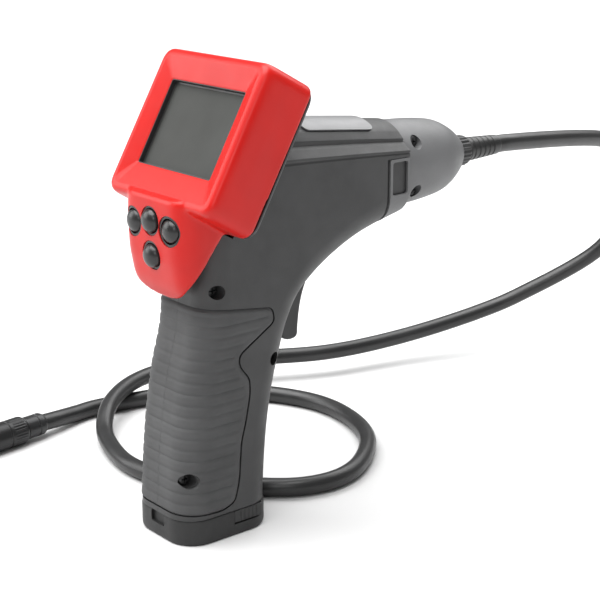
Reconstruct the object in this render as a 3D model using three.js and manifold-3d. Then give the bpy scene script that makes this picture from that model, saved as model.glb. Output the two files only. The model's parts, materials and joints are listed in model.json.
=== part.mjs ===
// Hand-held inspection camera: a pistol-grip display unit, a plug-in cable and its camera head.
// Millimetres, +Z up. The origin is the centre of the handle's foot on the surface it stands on.
// +X points from the user to the nose, and -Y is the user's right.
import * as THREE from 'three';
import { mergeVertices } from 'three/addons/utils/BufferGeometryUtils.js';
import Module from 'manifold-3d';

const wasm = await Module();
wasm.setup();

// ---------- driving dimensions ----------
const GAP = 0.3;                 // clearance between neighbouring solids
const HALF_WIDTH = 21.4;         // housing, from the mid plane to its side
const EDGE_ROUND = 13;           // rounding of the housing's long edges
const WALL = 3.4;                // housing wall
const RUBBER_DEPTH = 1.5;        // pocket in the housing for the grip rubber
const RUBBER_PROUD = 0.4;        // how far the rubber stands out of the housing

const FOOT_TOP = 12.2;           // joint between battery cover and housing
const NOSE_X = 107.5;            // joint between housing and nose
const NOSE_Z = 154.4;            // height of the cable's axis at the nose
const NOSE_TIP_X = 156.5;

const SCREEN_X = -1.5;           // centre of the screen
const SCREEN_Z = 183.5;
const SCREEN_TILT = 29.6;        // degrees that the screen leans back
const SCREEN_W = 50.8;           // 2.5 inch 4:3 panel
const SCREEN_H = 38.1;
const FRAME_RIM = 4.2;           // how far the rim stands in front of the screen
const FRAME_BACK = 22;           // depth of the red frame behind the screen
const COVER_BACK = 26;           // depth of the dark rear cover behind the screen

const CELL_R = 7.2;              // AA cell
const CELL_LENGTH = 49.5;
const CELL_PITCH = 15.2;
const HANDLE_LEAN = 4.8;         // degrees that the lower handle leans forward
const CARRIER_Z = 14.5;          // foot of the battery carrier

const CABLE_R = 4.5;
const CABLE_SIDES = 8;
const BOOT_END_X = 188;
const HEAD_R = 7.4;
const HEAD_WALL = 1.2;
const HEAD_LENGTH = 36;
const COLLAR_LENGTH = 12;

const LABEL_X = [50, 92];        // blank label over the top of the barrel
const LABEL_REACH = 37;          // degrees that it comes down on each side
const LABEL_THICKNESS = 0.6;

const KEY_R = 4.9;
const KEY_STEM_X = -17.2;        // where every key's stem ends, short of the keypad board
const KEY_DOME = 2.4;            // height of a key's dome above the tongue
// Keys on the keypad tongue: name, Y, Z and the X of the tongue's surface there.
const KEYS = [
  ['key_left', 13.2, 144.4, -23.6],
  ['key_middle', 0, 146.8, -25],
  ['key_right', -13.2, 144.4, -23.6],
  ['key_lower', 0, 131.4, -24.6],
];

const TRIGGER_HALF = 6.5;
const TRIGGER_PIVOT = [41, 121]; // X and Z of the pin
const PIN_R = 1.45;
const PIN_HALF = 11;             // half the pin's length

// The trigger's return spring, between the switch and the trigger's rear.
const SPRING_X = [27.3, 36.3];
const SPRING_Z = 104;
const SPRING_R = 2.4;
const SPRING_WIRE_R = 0.4;
const SPRING_TURNS = 4;

// Screws enter from the right side: name, X, Z and the depth of the head below the housing's side.
const HOUSING_SCREWS = [
  ['screw_neck', -4.2, 115.4, 5.5],
  ['screw_strap', 26.6, 79, 5.5],
  ['screw_grip', -19.6, 31, 7.5],
];
const NOSE_SCREWS = [
  ['screw_nose_upper', 115.6, NOSE_Z + 12, 6.5],
  ['screw_nose_lower', 115.6, NOSE_Z - 11.4, 6.5],
];
const SCREW_R = 1.4;
const SCREW_HEAD_R = 2.7;
const WELL_R = 3.2;
const BOSS_R = 4;

// The cable's centreline from the strain relief to the camera head.
const CABLE_ROUTE = [
  [188.3, 0, 154.4], [196, 0, 154.3], [283, 9, 145], [306, 14, 137.5], [326, 21.5, 124],
  [340, 30, 106], [346, 39.5, 85], [342.4, 51, 64], [303, 80, 35], [279, 91, 26],
  [228, 107, 16.4], [178, 119, 13.8], [130, 142, 14], [100, 151.5, 14.1], [74, 151.8, 14.1],
  [51.3, 142.7, 14.1], [30, 126.8, 12], [17, 110, 6.4], [6.8, 80.4, 4.6], [5.2, 62, 4.6],
  [10, 42, 4.6], [31.5, 14.5, 4.6], [42, 2, 4.6], [54, -6.6, 4.6], [69, -10.4, 4.6],
  [86, -7.4, 4.6], [108, 6.6, 4.6], [124, 25, 4.6], [134, 52, 4.6], [134.6, 76, 4.6],
  [125.6, 99.6, 4.6], [110, 119, 4.6], [90, 134, 4.6], [68, 142.6, 4.6], [35, 148.4, 4.6],
  [23.5, 147.4, 4.7], [5, 141.8, 6.9], [-2.55, 140.55, 7.4],
];
const CABLE_STEPS = 78;

// ---------- geometry helpers ----------
const FRONT_FACING = new THREE.Matrix4().makeBasis(
  new THREE.Vector3(0, 1, 0), new THREE.Vector3(0, 0, 1), new THREE.Vector3(1, 0, 0));
const LATHE_ALONG_X = new THREE.Matrix4().makeBasis(
  new THREE.Vector3(0, 0, 1), new THREE.Vector3(1, 0, 0), new THREE.Vector3(0, 1, 0));

function toSolid(geometry) {
  const bare = geometry.clone();
  bare.deleteAttribute('normal');
  bare.deleteAttribute('uv');
  const merged = mergeVertices(bare, 1e-3);
  const index = merged.index.array;
  const kept = [];
  for (let i = 0; i < index.length; i += 3) {
    const [a, b, c] = [index[i], index[i + 1], index[i + 2]];
    if (a !== b && b !== c && c !== a) kept.push(a, b, c);
  }
  return new wasm.Manifold(new wasm.Mesh({
    numProp: 3,
    vertProperties: new Float32Array(merged.attributes.position.array),
    triVerts: new Uint32Array(kept),
  }));
}

function toGeometry(solid) {
  const data = solid.getMesh();
  const geometry = new THREE.BufferGeometry();
  geometry.setAttribute('position', new THREE.BufferAttribute(new Float32Array(data.vertProperties), 3));
  geometry.setIndex(new THREE.BufferAttribute(new Uint32Array(data.triVerts), 1));
  geometry.computeVertexNormals();
  return geometry;
}

function polygon(points) {
  return new THREE.Shape(points.map(([x, y]) => new THREE.Vector2(x, y)));
}

function roundedRect(halfX, halfY, radius) {
  const shape = new THREE.Shape();
  shape.moveTo(halfX, -halfY + radius);
  shape.lineTo(halfX, halfY - radius);
  shape.absarc(halfX - radius, halfY - radius, radius, 0, Math.PI / 2);
  shape.lineTo(-halfX + radius, halfY);
  shape.absarc(-halfX + radius, halfY - radius, radius, Math.PI / 2, Math.PI);
  shape.lineTo(-halfX, -halfY + radius);
  shape.absarc(-halfX + radius, -halfY + radius, radius, Math.PI, Math.PI * 1.5);
  shape.lineTo(halfX - radius, -halfY);
  shape.absarc(halfX - radius, -halfY + radius, radius, Math.PI * 1.5, Math.PI * 2);
  return shape;
}

function plate(shape, depth, curveSegments = 4) {
  return new THREE.ExtrudeGeometry(shape, { depth, bevelEnabled: false, curveSegments });
}

// A side view outline (X, Z) given thickness from y0 to y1.
function slab(points, y0, y1) {
  const geometry = plate(polygon(points), y1 - y0);
  geometry.rotateX(Math.PI / 2);
  geometry.translate(0, y1, 0);
  return toSolid(geometry);
}

// A front view outline (Y, Z) given thickness from x0 to x1.
function frontSlab(shape, x0, x1, curveSegments = 5) {
  const geometry = plate(shape, x1 - x0, curveSegments);
  geometry.applyMatrix4(FRONT_FACING);
  geometry.translate(x0, 0, 0);
  return toSolid(geometry);
}

function block(x0, x1, y0, y1, z0, z1) {
  const geometry = new THREE.BoxGeometry(x1 - x0, y1 - y0, z1 - z0);
  geometry.translate((x0 + x1) / 2, (y0 + y1) / 2, (z0 + z1) / 2);
  return toSolid(geometry);
}

// A round bar along Y at (x, z).
function barY(x, z, radius, y0, y1, sides = 12) {
  const geometry = new THREE.CylinderGeometry(radius, radius, y1 - y0, sides);
  geometry.translate(x, (y0 + y1) / 2, z);
  return toSolid(geometry);
}

// A turned solid along X: profile points are (radius, x), from axis to axis or a closed loop.
function turned(profile, sides) {
  const points = profile.map(([radius, x]) => new THREE.Vector2(radius, x));
  const geometry = new THREE.LatheGeometry(points, sides);
  return toSolid(geometry.applyMatrix4(LATHE_ALONG_X));
}

// A turned ring or tube: outer profile forwards, inner profile back.
function turnedRing(outer, inner, sides) {
  const back = inner.slice().reverse();
  return turned([...outer, ...back, outer[0]], sides);
}

// A skin through rings of equal point count, closed by a flat cap at each end.
function loft(rings) {
  const count = rings[0].length;
  const vertices = [];
  const index = [];
  for (const level of rings) {
    for (const [x, y, z] of level) vertices.push(x, y, z);
  }
  for (let r = 0; r + 1 < rings.length; r += 1) {
    for (let i = 0; i < count; i += 1) {
      const j = (i + 1) % count;
      const a = r * count + i;
      const b = r * count + j;
      index.push(a, b, b + count, a, b + count, a + count);
    }
  }
  const last = (rings.length - 1) * count;
  for (let i = 1; i + 1 < count; i += 1) {
    index.push(0, i + 1, i);
    index.push(last, last + i, last + i + 1);
  }
  const geometry = new THREE.BufferGeometry();
  geometry.setAttribute('position', new THREE.Float32BufferAttribute(vertices, 3));
  geometry.setIndex(index);
  return toSolid(geometry);
}

// The points of a rounded rectangle at one height, counter-clockwise seen from +Z.
function ring(halfX, low, high, radius, z, perCorner = 4) {
  const corners = [[halfX - radius, high - radius], [-halfX + radius, high - radius],
    [-halfX + radius, low + radius], [halfX - radius, low + radius]];
  const points = [];
  corners.forEach(([cx, cy], corner) => {
    for (let i = 0; i <= perCorner; i += 1) {
      const angle = (corner + i / perCorner) * Math.PI / 2;
      points.push([cx + radius * Math.cos(angle), cy + radius * Math.sin(angle), z]);
    }
  });
  return points;
}

// A ring of the display frame, which is wider at its foot than at its head near the rim.
function frameRing(headHalf, footHalf, low, high, radius, z) {
  const mean = (headHalf + footHalf) / 2;
  return ring(mean, low, high, radius, z, 3).map(([x, y, level]) => {
    const half = footHalf + (headHalf - footHalf) * (y - low) / (high - low);
    return [x * half / mean, y, level];
  });
}

const root = new THREE.Group();

function add(name, solid, colour, roughness, parent = root, metalness = 0) {
  const material = new THREE.MeshStandardMaterial({ color: colour, roughness, metalness });
  const mesh = new THREE.Mesh(toGeometry(solid), material);
  mesh.name = name;
  parent.add(mesh);
  return mesh;
}

// Side -1 is the user's right, +1 the left: the space on that side of the mid plane.
function halfSpace(side) {
  const [near, far] = [side * GAP / 2, side * 60];
  return block(-60, 200, Math.min(near, far), Math.max(near, far), 0, 220);
}

const DARK = 0x3a3b3c;
const GREY = 0x77797b;
const RUBBER = 0x55575a;
const RED = 0xd8261d;
const BLACK = 0x151516;
const STEEL = 0x9a9c9e;
const BOARD = 0x1f5a37;
const SCREEN_GREY = 0x59605c;
const PANEL_GREY = 0x2b2f2e;
const CELL_GREY = 0x8a8c90;
const HEAD_BLACK = 0x232426;
const GLASS = 0x8fa0a8;
const LED_PALE = 0xf4f1d8;
const LABEL_PALE = 0xd9dadb;

// ---------- display frame ----------
const tilt = THREE.MathUtils.degToRad(SCREEN_TILT);
const screenUp = new THREE.Vector3(Math.sin(tilt), 0, Math.cos(tilt));
const screenOut = new THREE.Vector3(-Math.cos(tilt), 0, Math.sin(tilt));
const display = new THREE.Group();
display.applyMatrix4(new THREE.Matrix4()
  .makeBasis(new THREE.Vector3(0, -1, 0), screenUp, screenOut)
  .setPosition(SCREEN_X, 0, SCREEN_Z));
root.add(display);
display.updateMatrixWorld(true);

function fromDisplay(solid) {
  return toSolid(toGeometry(solid).applyMatrix4(display.matrixWorld));
}

function frameOutside() {
  return loft([
    frameRing(39, 38.2, -36.4, 34.4, 6, -FRAME_BACK),
    frameRing(38.4, 38.4, -36, 34.2, 6, -8),
    frameRing(36.8, 38, -35.2, 33.4, 5, FRAME_RIM - 1.4),
    frameRing(35.4, 36.8, -34.2, 32.2, 4, FRAME_RIM),
    frameRing(33.4, 34.4, -31.8, 30, 3.4, FRAME_RIM),
  ]);
}

function frameInside() {
  return loft([
    ring(36, -33.4, 31.6, 5, -FRAME_BACK - 1, 3),
    ring(35.4, -32.8, 31.2, 5, -0.9, 3),
  ]);
}

function windowWell() {
  const halfW = SCREEN_W / 2 + 1;
  const halfH = SCREEN_H / 2 + 1;
  return loft([
    ring(halfW, -halfH, halfH, 1, -6, 3),
    ring(halfW, -halfH, halfH, 1, 1.6, 3),
    frameRing(33.4, 34.4, -31.8, 30, 3.4, FRAME_RIM + 0.1),
    frameRing(33.4, 34.4, -31.8, 30, 3.4, FRAME_RIM + 2),
  ]);
}

// A flat pane across the display, with its front face at that level.
function pane(width, height, front, thickness) {
  const shape = roundedRect(width / 2, height / 2, 2);
  return toSolid(plate(shape, thickness, 3).translate(0, 0, front - thickness));
}

function rearCover() {
  const rim = loft([
    ring(30, -35, 24, 8, -COVER_BACK, 3),
    ring(38.2, -35.8, 33.8, 7, -COVER_BACK + 2.6, 3),
    ring(38.2, -35.8, 33.8, 7, -FRAME_BACK - GAP, 3),
  ]);
  const plug = loft([
    ring(35.4, -32.8, 31, 4.8, -FRAME_BACK - 1, 3),
    ring(35.4, -32.8, 31, 4.8, -FRAME_BACK + 4, 3),
  ]);
  const hollow = loft([
    ring(33, -30.4, 28.6, 4, -FRAME_BACK - 0.6, 3),
    ring(33, -30.4, 28.6, 4, -FRAME_BACK + 6, 3),
  ]);
  return rim.add(plug).subtract(hollow);
}

// ---------- keypad tongue, part of the red frame ----------
function tongueBlock() {
  const plan = (hx, z, front, rearCut = 12) => {
    const cx = (front + rearCut) / 2;
    return ring(rearCut - cx, -hx, hx, 8.5, z, 4).map(([x, y, level]) => [x + cx, y, level]);
  };
  return loft([
    plan(22, 108, -15.8),
    plan(22.8, 117, -21.4),
    plan(23, 126, -23.6),
    plan(23, 134, -24.8),
    plan(23, 150, -25),
    plan(23, 158, -24.4),
  ]);
}

function tongue() {
  const outline = new THREE.Shape();
  outline.moveTo(-24, 170);
  outline.lineTo(-24, 136);
  outline.bezierCurveTo(-24, 120, -16, 111.6, 0, 111.6);
  outline.bezierCurveTo(16, 111.6, 24, 120, 24, 136);
  outline.lineTo(24, 170);
  const sideCut = slab([[-40, 100], [-12, 108], [-18, 121], [-14, 127.6], [-9, 134], [-4, 140.4],
    [6, 152], [-40, 168]], -30, 30);
  return tongueBlock().intersect(frontSlab(outline, -40, 20, 8)).intersect(sideCut);
}

function displayBezel() {
  const neckRoom = bodyLayer(-GAP - 0.1).intersect(block(-30, 60, -40, 40, 90, 160));
  const keyRoom = block(-21.4, 20, -18.6, 18.6, 120, 153);
  let shape = fromDisplay(frameOutside()).add(tongue());
  shape = shape.subtract(neckRoom).subtract(keyRoom.intersect(tongueInner()));
  shape = shape.subtract(fromDisplay(frameInside())).subtract(fromDisplay(windowWell()));
  for (const [, y, z, x] of KEYS) {
    shape = shape.subtract(keyBar(y, z, x - 3, x + 14, KEY_R + 0.5));
  }
  return shape;
}

// The hollow behind the keypad, 2.4 mm inside the tongue's surface.
function tongueInner() {
  const plan = (hx, z, front) => {
    const cx = (front + 20) / 2;
    return ring(20 - cx, -hx, hx, 6, z, 3).map(([x, y, level]) => [x + cx, y, level]);
  };
  return loft([
    plan(16, 119, -19.5),
    plan(19, 126, -21.2),
    plan(20.6, 134, -22.4),
    plan(20.6, 160, -22.6),
  ]);
}

function keyBar(y, z, x0, x1, radius) {
  const geometry = new THREE.CylinderGeometry(radius, radius, x1 - x0, 14);
  geometry.applyMatrix4(LATHE_ALONG_X);
  geometry.translate((x0 + x1) / 2, y, z);
  return toSolid(geometry);
}

function key(y, z, x) {
  const stem = keyBar(y, z, x + 1.6, KEY_STEM_X, KEY_R - 1.2);
  const cap = turned([[0, -KEY_DOME], [KEY_R * 0.5, -KEY_DOME * 0.85], [KEY_R * 0.85, -KEY_DOME * 0.4],
    [KEY_R, 0.4], [KEY_R, 2.2], [0, 2.2]], 16);
  return toSolid(toGeometry(cap).translate(x, y, z)).add(stem);
}

// ---------- housing ----------
// Side view of the whole housing, running past its cut ends so that they stay square, and over the
// barrel's rounded top, which has a form of its own.
function sideOutline() {
  const shape = new THREE.Shape();
  shape.moveTo(-26, -24);
  shape.lineTo(-25.2, 12);
  shape.splineThru([[-23.6, 36], [-21.2, 57], [-17.4, 78], [-12.8, 95], [-10.8, 112]]
    .map(([x, z]) => new THREE.Vector2(x, z)));
  shape.lineTo(-11, 200);
  shape.lineTo(150, 184);
  shape.lineTo(150, 134.6);
  shape.lineTo(110, 133.4);
  shape.splineThru([[94, 129.6], [80, 125.4], [66, 119], [54, 111.6], [45, 103.5], [38.6, 92], [34.2, 78]]
    .map(([x, z]) => new THREE.Vector2(x, z)));
  shape.splineThru([[30.4, 64], [27.6, 48], [25.8, 30], [24.7, 12]]
    .map(([x, z]) => new THREE.Vector2(x, z)));
  shape.lineTo(24, -24);
  shape.closePath();
  return shape;
}

const BODY_OUTLINE = sideOutline();

// The housing's outer form, moved in by inset all over.
function bodyLayer(inset) {
  const bevel = EDGE_ROUND - inset;
  const depth = 2 * (HALF_WIDTH - EDGE_ROUND);
  const geometry = new THREE.ExtrudeGeometry(BODY_OUTLINE, {
    depth, curveSegments: 1, bevelEnabled: true, bevelThickness: bevel,
    bevelSize: bevel, bevelOffset: -EDGE_ROUND, bevelSegments: 4,
  });
  geometry.rotateX(Math.PI / 2);
  geometry.translate(0, depth / 2, 0);
  return toSolid(geometry);
}

// The barrel's top is an arc across, with two ridges and a groove between them on each side.
const BARREL_R = 21.4;
const ARC_REACH = 39;            // degrees from the top to the first ridge
const RIDGES = [[16.6, -7.9], [16.2, -9.3], [18, -10.4], [21.8, -13.4], [20.9, -14.2], [21.4, -15.4]];
const INNER_FLANK = [[14.4, -10.8], [17.9, -15.6]];
const BARREL_TOPS = [[8, 187], [45, 183.4], [80, 179.7], [107.5, 176.5], [130, 174.2]];
const RIDGE_SPREAD = 0.0056;     // how much lower the ridges run for each mm towards the display
const RIDGES_FROM_X = 90;

// Half of the arc, as distances from the mid plane and depths below the top of the barrel.
function arcPoints(out, reach, steps = 3) {
  const points = [];
  for (let i = 0; i <= steps; i += 1) {
    const angle = THREE.MathUtils.degToRad(reach * i / steps);
    const radius = BARREL_R + out;
    points.push([radius * Math.sin(angle), radius * Math.cos(angle) - BARREL_R]);
  }
  return points;
}

function mirroredLoft(half, tops) {
  return loft(tops.map(([x, top]) => {
    const spread = 1 + RIDGE_SPREAD * (RIDGES_FROM_X - x);
    const arcDepth = BARREL_R * (Math.cos(THREE.MathUtils.degToRad(ARC_REACH)) - 1);
    const height = (z) => top + (z < arcDepth ? arcDepth + (z - arcDepth) * spread : z);
    return [...half.slice().reverse().map(([y, z]) => [x, y, height(z)]),
      ...half.slice(1).map(([y, z]) => [x, -y, height(z)])];
  }));
}

// Everything below the barrel's top, which is moved in by the wall for the housing's inside.
function underBarrelTop(inset) {
  const flank = inset ? INNER_FLANK : RIDGES;
  const side = flank[flank.length - 1][1] - 0.1;
  const half = [...arcPoints(-inset, ARC_REACH), ...flank, [40, side], [40, -150]];
  return mirroredLoft(half, BARREL_TOPS).add(block(-60, BARREL_TOPS[0][0] + 0.01, -40, 40, -30, 220));
}

// The part of the housing that lies behind the display and above the foot.
function housingSpace() {
  const all = block(-60, NOSE_X, -60, 60, FOOT_TOP, 220);
  const screenSpace = fromDisplay(block(-60, 60, -36.9, 80, -COVER_BACK - GAP, 60));
  return all.subtract(screenSpace);
}

const GRIP_OUTLINE = [
  [-40, 15.6], [-4, 14], [2.6, 16.4], [5.2, 26], [6.6, 44], [9.4, 54], [11.8, 66], [11.6, 73],
  [6, 80], [6, 85], [16, 91], [26, 97], [24.6, 103.6], [0, 107], [-40, 110],
];

// The zone of the grip rubber, grown by a margin above, below and in front.
function gripZone(grow) {
  const middle = 60;
  const grown = GRIP_OUTLINE.map(([x, z]) => [x + grow, z + Math.sign(z - middle) * grow]);
  return slab(GRIP_OUTLINE, -60, 60).add(slab(grown, -60, 60));
}

function triggerSlot() {
  const half = TRIGGER_HALF + 0.5;
  return slab([[30, 77], [66, 77], [66, 118], [58, 124], [34, 124], [31, 108]], -half, half);
}

// Bosses on both sides of the trigger that carry the ends of its pin.
function pinBosses() {
  const inside = TRIGGER_HALF + 0.7;
  const boss = barY(...TRIGGER_PIVOT, 3.6, -HALF_WIDTH, -inside)
    .add(barY(...TRIGGER_PIVOT, 3.6, inside, HALF_WIDTH));
  return boss.intersect(bodyLayer(RUBBER_DEPTH));
}

// Cuts the bore and the head's well of a screw that enters from the right side.
function cutScrewHole(shape, x, z, depth) {
  return shape
    .subtract(barY(x, z, SCREW_R + 0.25, -30, 9))
    .subtract(barY(x, z, WELL_R, -30, -HALF_WIDTH + depth + 2.2));
}

function housing(side) {
  const outer = bodyLayer(0).intersect(underBarrelTop(0));
  const inner = bodyLayer(WALL).intersect(underBarrelTop(WALL));
  const pocket = outer.subtract(bodyLayer(RUBBER_DEPTH)).intersect(gripZone(GAP));
  let shape = outer.subtract(inner).subtract(pocket).add(pinBosses());
  for (const [, x, z, depth] of HOUSING_SCREWS) {
    const boss = barY(x, z, BOSS_R, -HALF_WIDTH, HALF_WIDTH);
    shape = shape.add(boss.intersect(bodyLayer(RUBBER_DEPTH + GAP)));
    shape = cutScrewHole(shape, x, z, depth);
  }
  shape = shape.subtract(triggerSlot());
  shape = shape.subtract(barY(...TRIGGER_PIVOT, PIN_R + GAP, -PIN_HALF - GAP, PIN_HALF + GAP));
  return shape.intersect(housingSpace()).intersect(halfSpace(side));
}

function gripRubber(side) {
  const skin = bodyLayer(-RUBBER_PROUD).subtract(bodyLayer(RUBBER_DEPTH - GAP));
  let shape = skin.intersect(gripZone(0));
  for (const [, x, z] of HOUSING_SCREWS) shape = shape.subtract(barY(x, z, WELL_R + 0.4, -30, 0));
  return shape.intersect(halfSpace(side));
}

function screw(x, z, headY) {
  const profile = [[0, 0], [SCREW_HEAD_R, 0.3], [SCREW_HEAD_R, 2], [SCREW_R, 2.1],
    [SCREW_R, 17.5], [0, 18.5]];
  const points = profile.map(([radius, y]) => new THREE.Vector2(radius, y));
  const geometry = new THREE.LatheGeometry(points, 10);
  geometry.translate(x, headY, z);
  return toSolid(geometry);
}

// ---------- nose ----------
// Profiles of the nose's skin: radius and X.
const NOSE_OUTSIDE = [[20.9, NOSE_X + GAP], [20.9, 113], [20.3, 125], [18.8, 138], [16.6, 145],
  [13, 151.5], [9.4, NOSE_TIP_X]];
const NOSE_INSIDE = [[18.2, NOSE_X + GAP], [18.2, 113], [17.6, 125], [16, 137], [13.4, 144],
  [8.8, 150], [8.8, NOSE_TIP_X]];

function atNose(solid) {
  return toSolid(toGeometry(solid).translate(0, 0, NOSE_Z));
}

function nose(side) {
  const outer = atNose(turned([[0, NOSE_OUTSIDE[0][1]], ...NOSE_OUTSIDE, [0, NOSE_TIP_X]], 28));
  let shape = atNose(turnedRing(NOSE_OUTSIDE, NOSE_INSIDE, 28));
  for (const [, x, z, depth] of NOSE_SCREWS) {
    shape = shape.add(barY(x, z, BOSS_R, -18, 18).intersect(outer));
    shape = cutScrewHole(shape, x, z, depth);
  }
  return shape.intersect(halfSpace(side));
}

// ---------- battery cover and carrier ----------
function batteryCover() {
  const outer = loft([
    ring(24.1, -20.7, 20.7, 12.4, 0, 5),
    ring(25.1, -21.7, 21.7, 13.3, 1, 5),
    ring(25.3, -21.9, 21.9, 13.4, 2.4, 5),
    ring(25.3, -21.9, 21.9, 13.4, FOOT_TOP - GAP, 5),
  ]);
  const inner = loft([
    ring(21.6, -18.4, 18.4, 11, 3, 5),
    ring(21.6, -18.4, 18.4, 11, FOOT_TOP + 1, 5),
  ]);
  return outer.subtract(inner).subtract(block(1.6, 18.4, -30, 30, 5.4, 20));
}

// A squeeze latch in the notch of the battery cover's side wall.
function latch(side) {
  const [outside, middle, inside] = [21.5, 18.9, 16.9];
  const across = (near, far) => [side * near, side * far].sort((a, b) => a - b);
  const pad = block(2, 18, ...across(middle, outside), 5.8, FOOT_TOP - 0.4);
  const hook = block(6, 14, ...across(inside, middle), 6.4, 9.4);
  return pad.add(hook);
}

function batteryCarrier() {
  const top = CELL_LENGTH + 4;
  const half = CELL_PITCH / 2;
  const bottomPlate = toSolid(plate(roundedRect(15.2, 15.2, 6), 1.6));
  const topPlate = toSolid(plate(roundedRect(15.2, 15.2, 6), 1.6).translate(0, 0, top - 1.6));
  const web = block(-1.2, 1.2, -14.6, 14.6, 0.5, top - 0.5)
    .add(block(-14.6, 14.6, -1.2, 1.2, 0.5, top - 0.5));
  let shape = bottomPlate.add(topPlate).add(web);
  for (const [sx, sy] of [[1, 1], [1, -1], [-1, 1], [-1, -1]]) {
    const room = new THREE.CylinderGeometry(CELL_R + 0.25, CELL_R + 0.25, CELL_LENGTH + 0.6, 16);
    room.rotateX(Math.PI / 2);
    room.translate(sx * half, sy * half, top / 2);
    shape = shape.subtract(toSolid(room));
  }
  return shape;
}

function cell() {
  const profile = [[0, 0], [CELL_R - 0.4, 0], [CELL_R, 0.6], [CELL_R, CELL_LENGTH - 2],
    [2.7, CELL_LENGTH - 1.4], [2.7, CELL_LENGTH], [0, CELL_LENGTH]];
  const geometry = new THREE.LatheGeometry(profile.map(([r, y]) => new THREE.Vector2(r, y)), 14);
  return toSolid(geometry.rotateX(Math.PI / 2));
}

// ---------- label ----------
// A plate bent over the barrel, as a skin through its cross-sections from one side to the other.
function label() {
  const [x0, z0] = BARREL_TOPS[1];
  const [x1, z1] = BARREL_TOPS[2];
  const top = (x) => z0 + (x - x0) * (z1 - z0) / (x1 - x0);
  const under = arcPoints(GAP, LABEL_REACH);
  const over = arcPoints(GAP + LABEL_THICKNESS, LABEL_REACH);
  const [start, end] = LABEL_X;
  const section = (i, side) => {
    const [[underY, underZ], [overY, overZ]] = [under[i], over[i]];
    return [[start, side * underY, top(start) + underZ], [end, side * underY, top(end) + underZ],
      [end, side * overY, top(end) + overZ], [start, side * overY, top(start) + overZ]];
  };
  const steps = under.map((_, i) => i);
  const left = steps.slice(1).reverse().map((i) => section(i, 1));
  return loft([...left, ...steps.map((i) => section(i, -1))]);
}

// ---------- trigger ----------
function trigger() {
  const shape = new THREE.Shape();
  shape.moveTo(38, 123);
  shape.lineTo(37, 108);
  shape.lineTo(40.5, 86);
  shape.quadraticCurveTo(43, 80.4, 48, 80);
  shape.quadraticCurveTo(52.2, 80.6, 52.2, 85);
  shape.quadraticCurveTo(53, 97, 57, 106);
  shape.lineTo(57, 109.5);
  shape.lineTo(46, 115);
  shape.lineTo(44.5, 123);
  shape.closePath();
  const geometry = plate(shape, TRIGGER_HALF * 2, 5);
  geometry.rotateX(Math.PI / 2);
  geometry.translate(0, TRIGGER_HALF, 0);
  return toSolid(geometry).subtract(barY(...TRIGGER_PIVOT, PIN_R + GAP, -10, 10));
}

function coilSpring() {
  const steps = SPRING_TURNS * 8;
  const [start, end] = SPRING_X;
  const points = [];
  for (let i = 0; i <= steps; i += 1) {
    const angle = i / steps * SPRING_TURNS * Math.PI * 2;
    const x = start + i / steps * (end - start);
    const [y, z] = [SPRING_R * Math.cos(angle), SPRING_R * Math.sin(angle)];
    points.push(new THREE.Vector3(x, y, SPRING_Z + z));
  }
  const path = new THREE.CatmullRomCurve3(points);
  const section = new THREE.Shape().absarc(0, 0, SPRING_WIRE_R, 0, Math.PI * 2);
  return toSolid(new THREE.ExtrudeGeometry(section, { steps, extrudePath: path, curveSegments: 4 }));
}

// ---------- cable ----------
function cableSocket() {
  return turnedRing([[8.4, 122], [8.4, 155]], [[6.5, 122], [6.5, 155]], 20);
}

function cablePlug() {
  return turned([[0, 125], [6.1, 125], [6.1, 157], [5, 158], [5, 166], [0, 166]], 18);
}

function couplingNut() {
  const outer = [[7.4, 156.9], [7.8, 157.6], [7.8, 163.2], [6.8, 164.4]];
  const inner = [[6.5, 156.9], [6.5, 157.8], [5.4, 158.8], [5.4, 164.4]];
  return turnedRing(outer, inner, 20);
}

function strainRelief() {
  return turned([[0, 166.4], [6.2, 166.4], [6, 170], [4.9, BOOT_END_X], [0, BOOT_END_X]], 16);
}

function cable() {
  const points = CABLE_ROUTE.map((point) => new THREE.Vector3(...point));
  const path = new THREE.CatmullRomCurve3(points, false, 'centripetal');
  const section = new THREE.Shape();
  for (let i = 0; i < CABLE_SIDES; i += 1) {
    const angle = (i + 0.5) / CABLE_SIDES * Math.PI * 2;
    const point = [CABLE_R * Math.cos(angle), CABLE_R * Math.sin(angle)];
    if (i === 0) section.moveTo(...point);
    else section.lineTo(...point);
  }
  section.closePath();
  return toSolid(new THREE.ExtrudeGeometry(section, { steps: CABLE_STEPS, extrudePath: path }));
}

// ---------- camera head, along its own X from the end of the cable ----------
const HEAD_FRONT = COLLAR_LENGTH + HEAD_LENGTH;
const HEAD_BORE = HEAD_R - HEAD_WALL;

function headCollar() {
  return turned([[0, 0.2], [4.9, 0.2], [6, 1.6], [6, COLLAR_LENGTH], [0, COLLAR_LENGTH]], 18);
}

function headTube() {
  const rear = COLLAR_LENGTH + GAP;
  const outer = [[5.6, rear], [HEAD_R, COLLAR_LENGTH + 2], [HEAD_R, HEAD_FRONT]];
  const inner = [[4.8, rear], [HEAD_BORE, COLLAR_LENGTH + 4], [HEAD_BORE, HEAD_FRONT]];
  return turnedRing(outer, inner, 20);
}

// A round disc across the camera head, between two places along it.
function headDisc(radius, x0, x1, sides = 16) {
  return turned([[0, x0], [radius, x0], [radius, x1], [0, x1]], sides);
}

// ---------- assembly ----------
add('right_housing', housing(-1), DARK, 0.55);
add('left_housing', housing(1), DARK, 0.55);
add('right_grip_rubber', gripRubber(-1), RUBBER, 0.85);
add('left_grip_rubber', gripRubber(1), RUBBER, 0.85);
for (const [name, x, z, depth] of HOUSING_SCREWS) {
  add(name, screw(x, z, -HALF_WIDTH + depth), STEEL, 0.35, root, 1);
}

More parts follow.
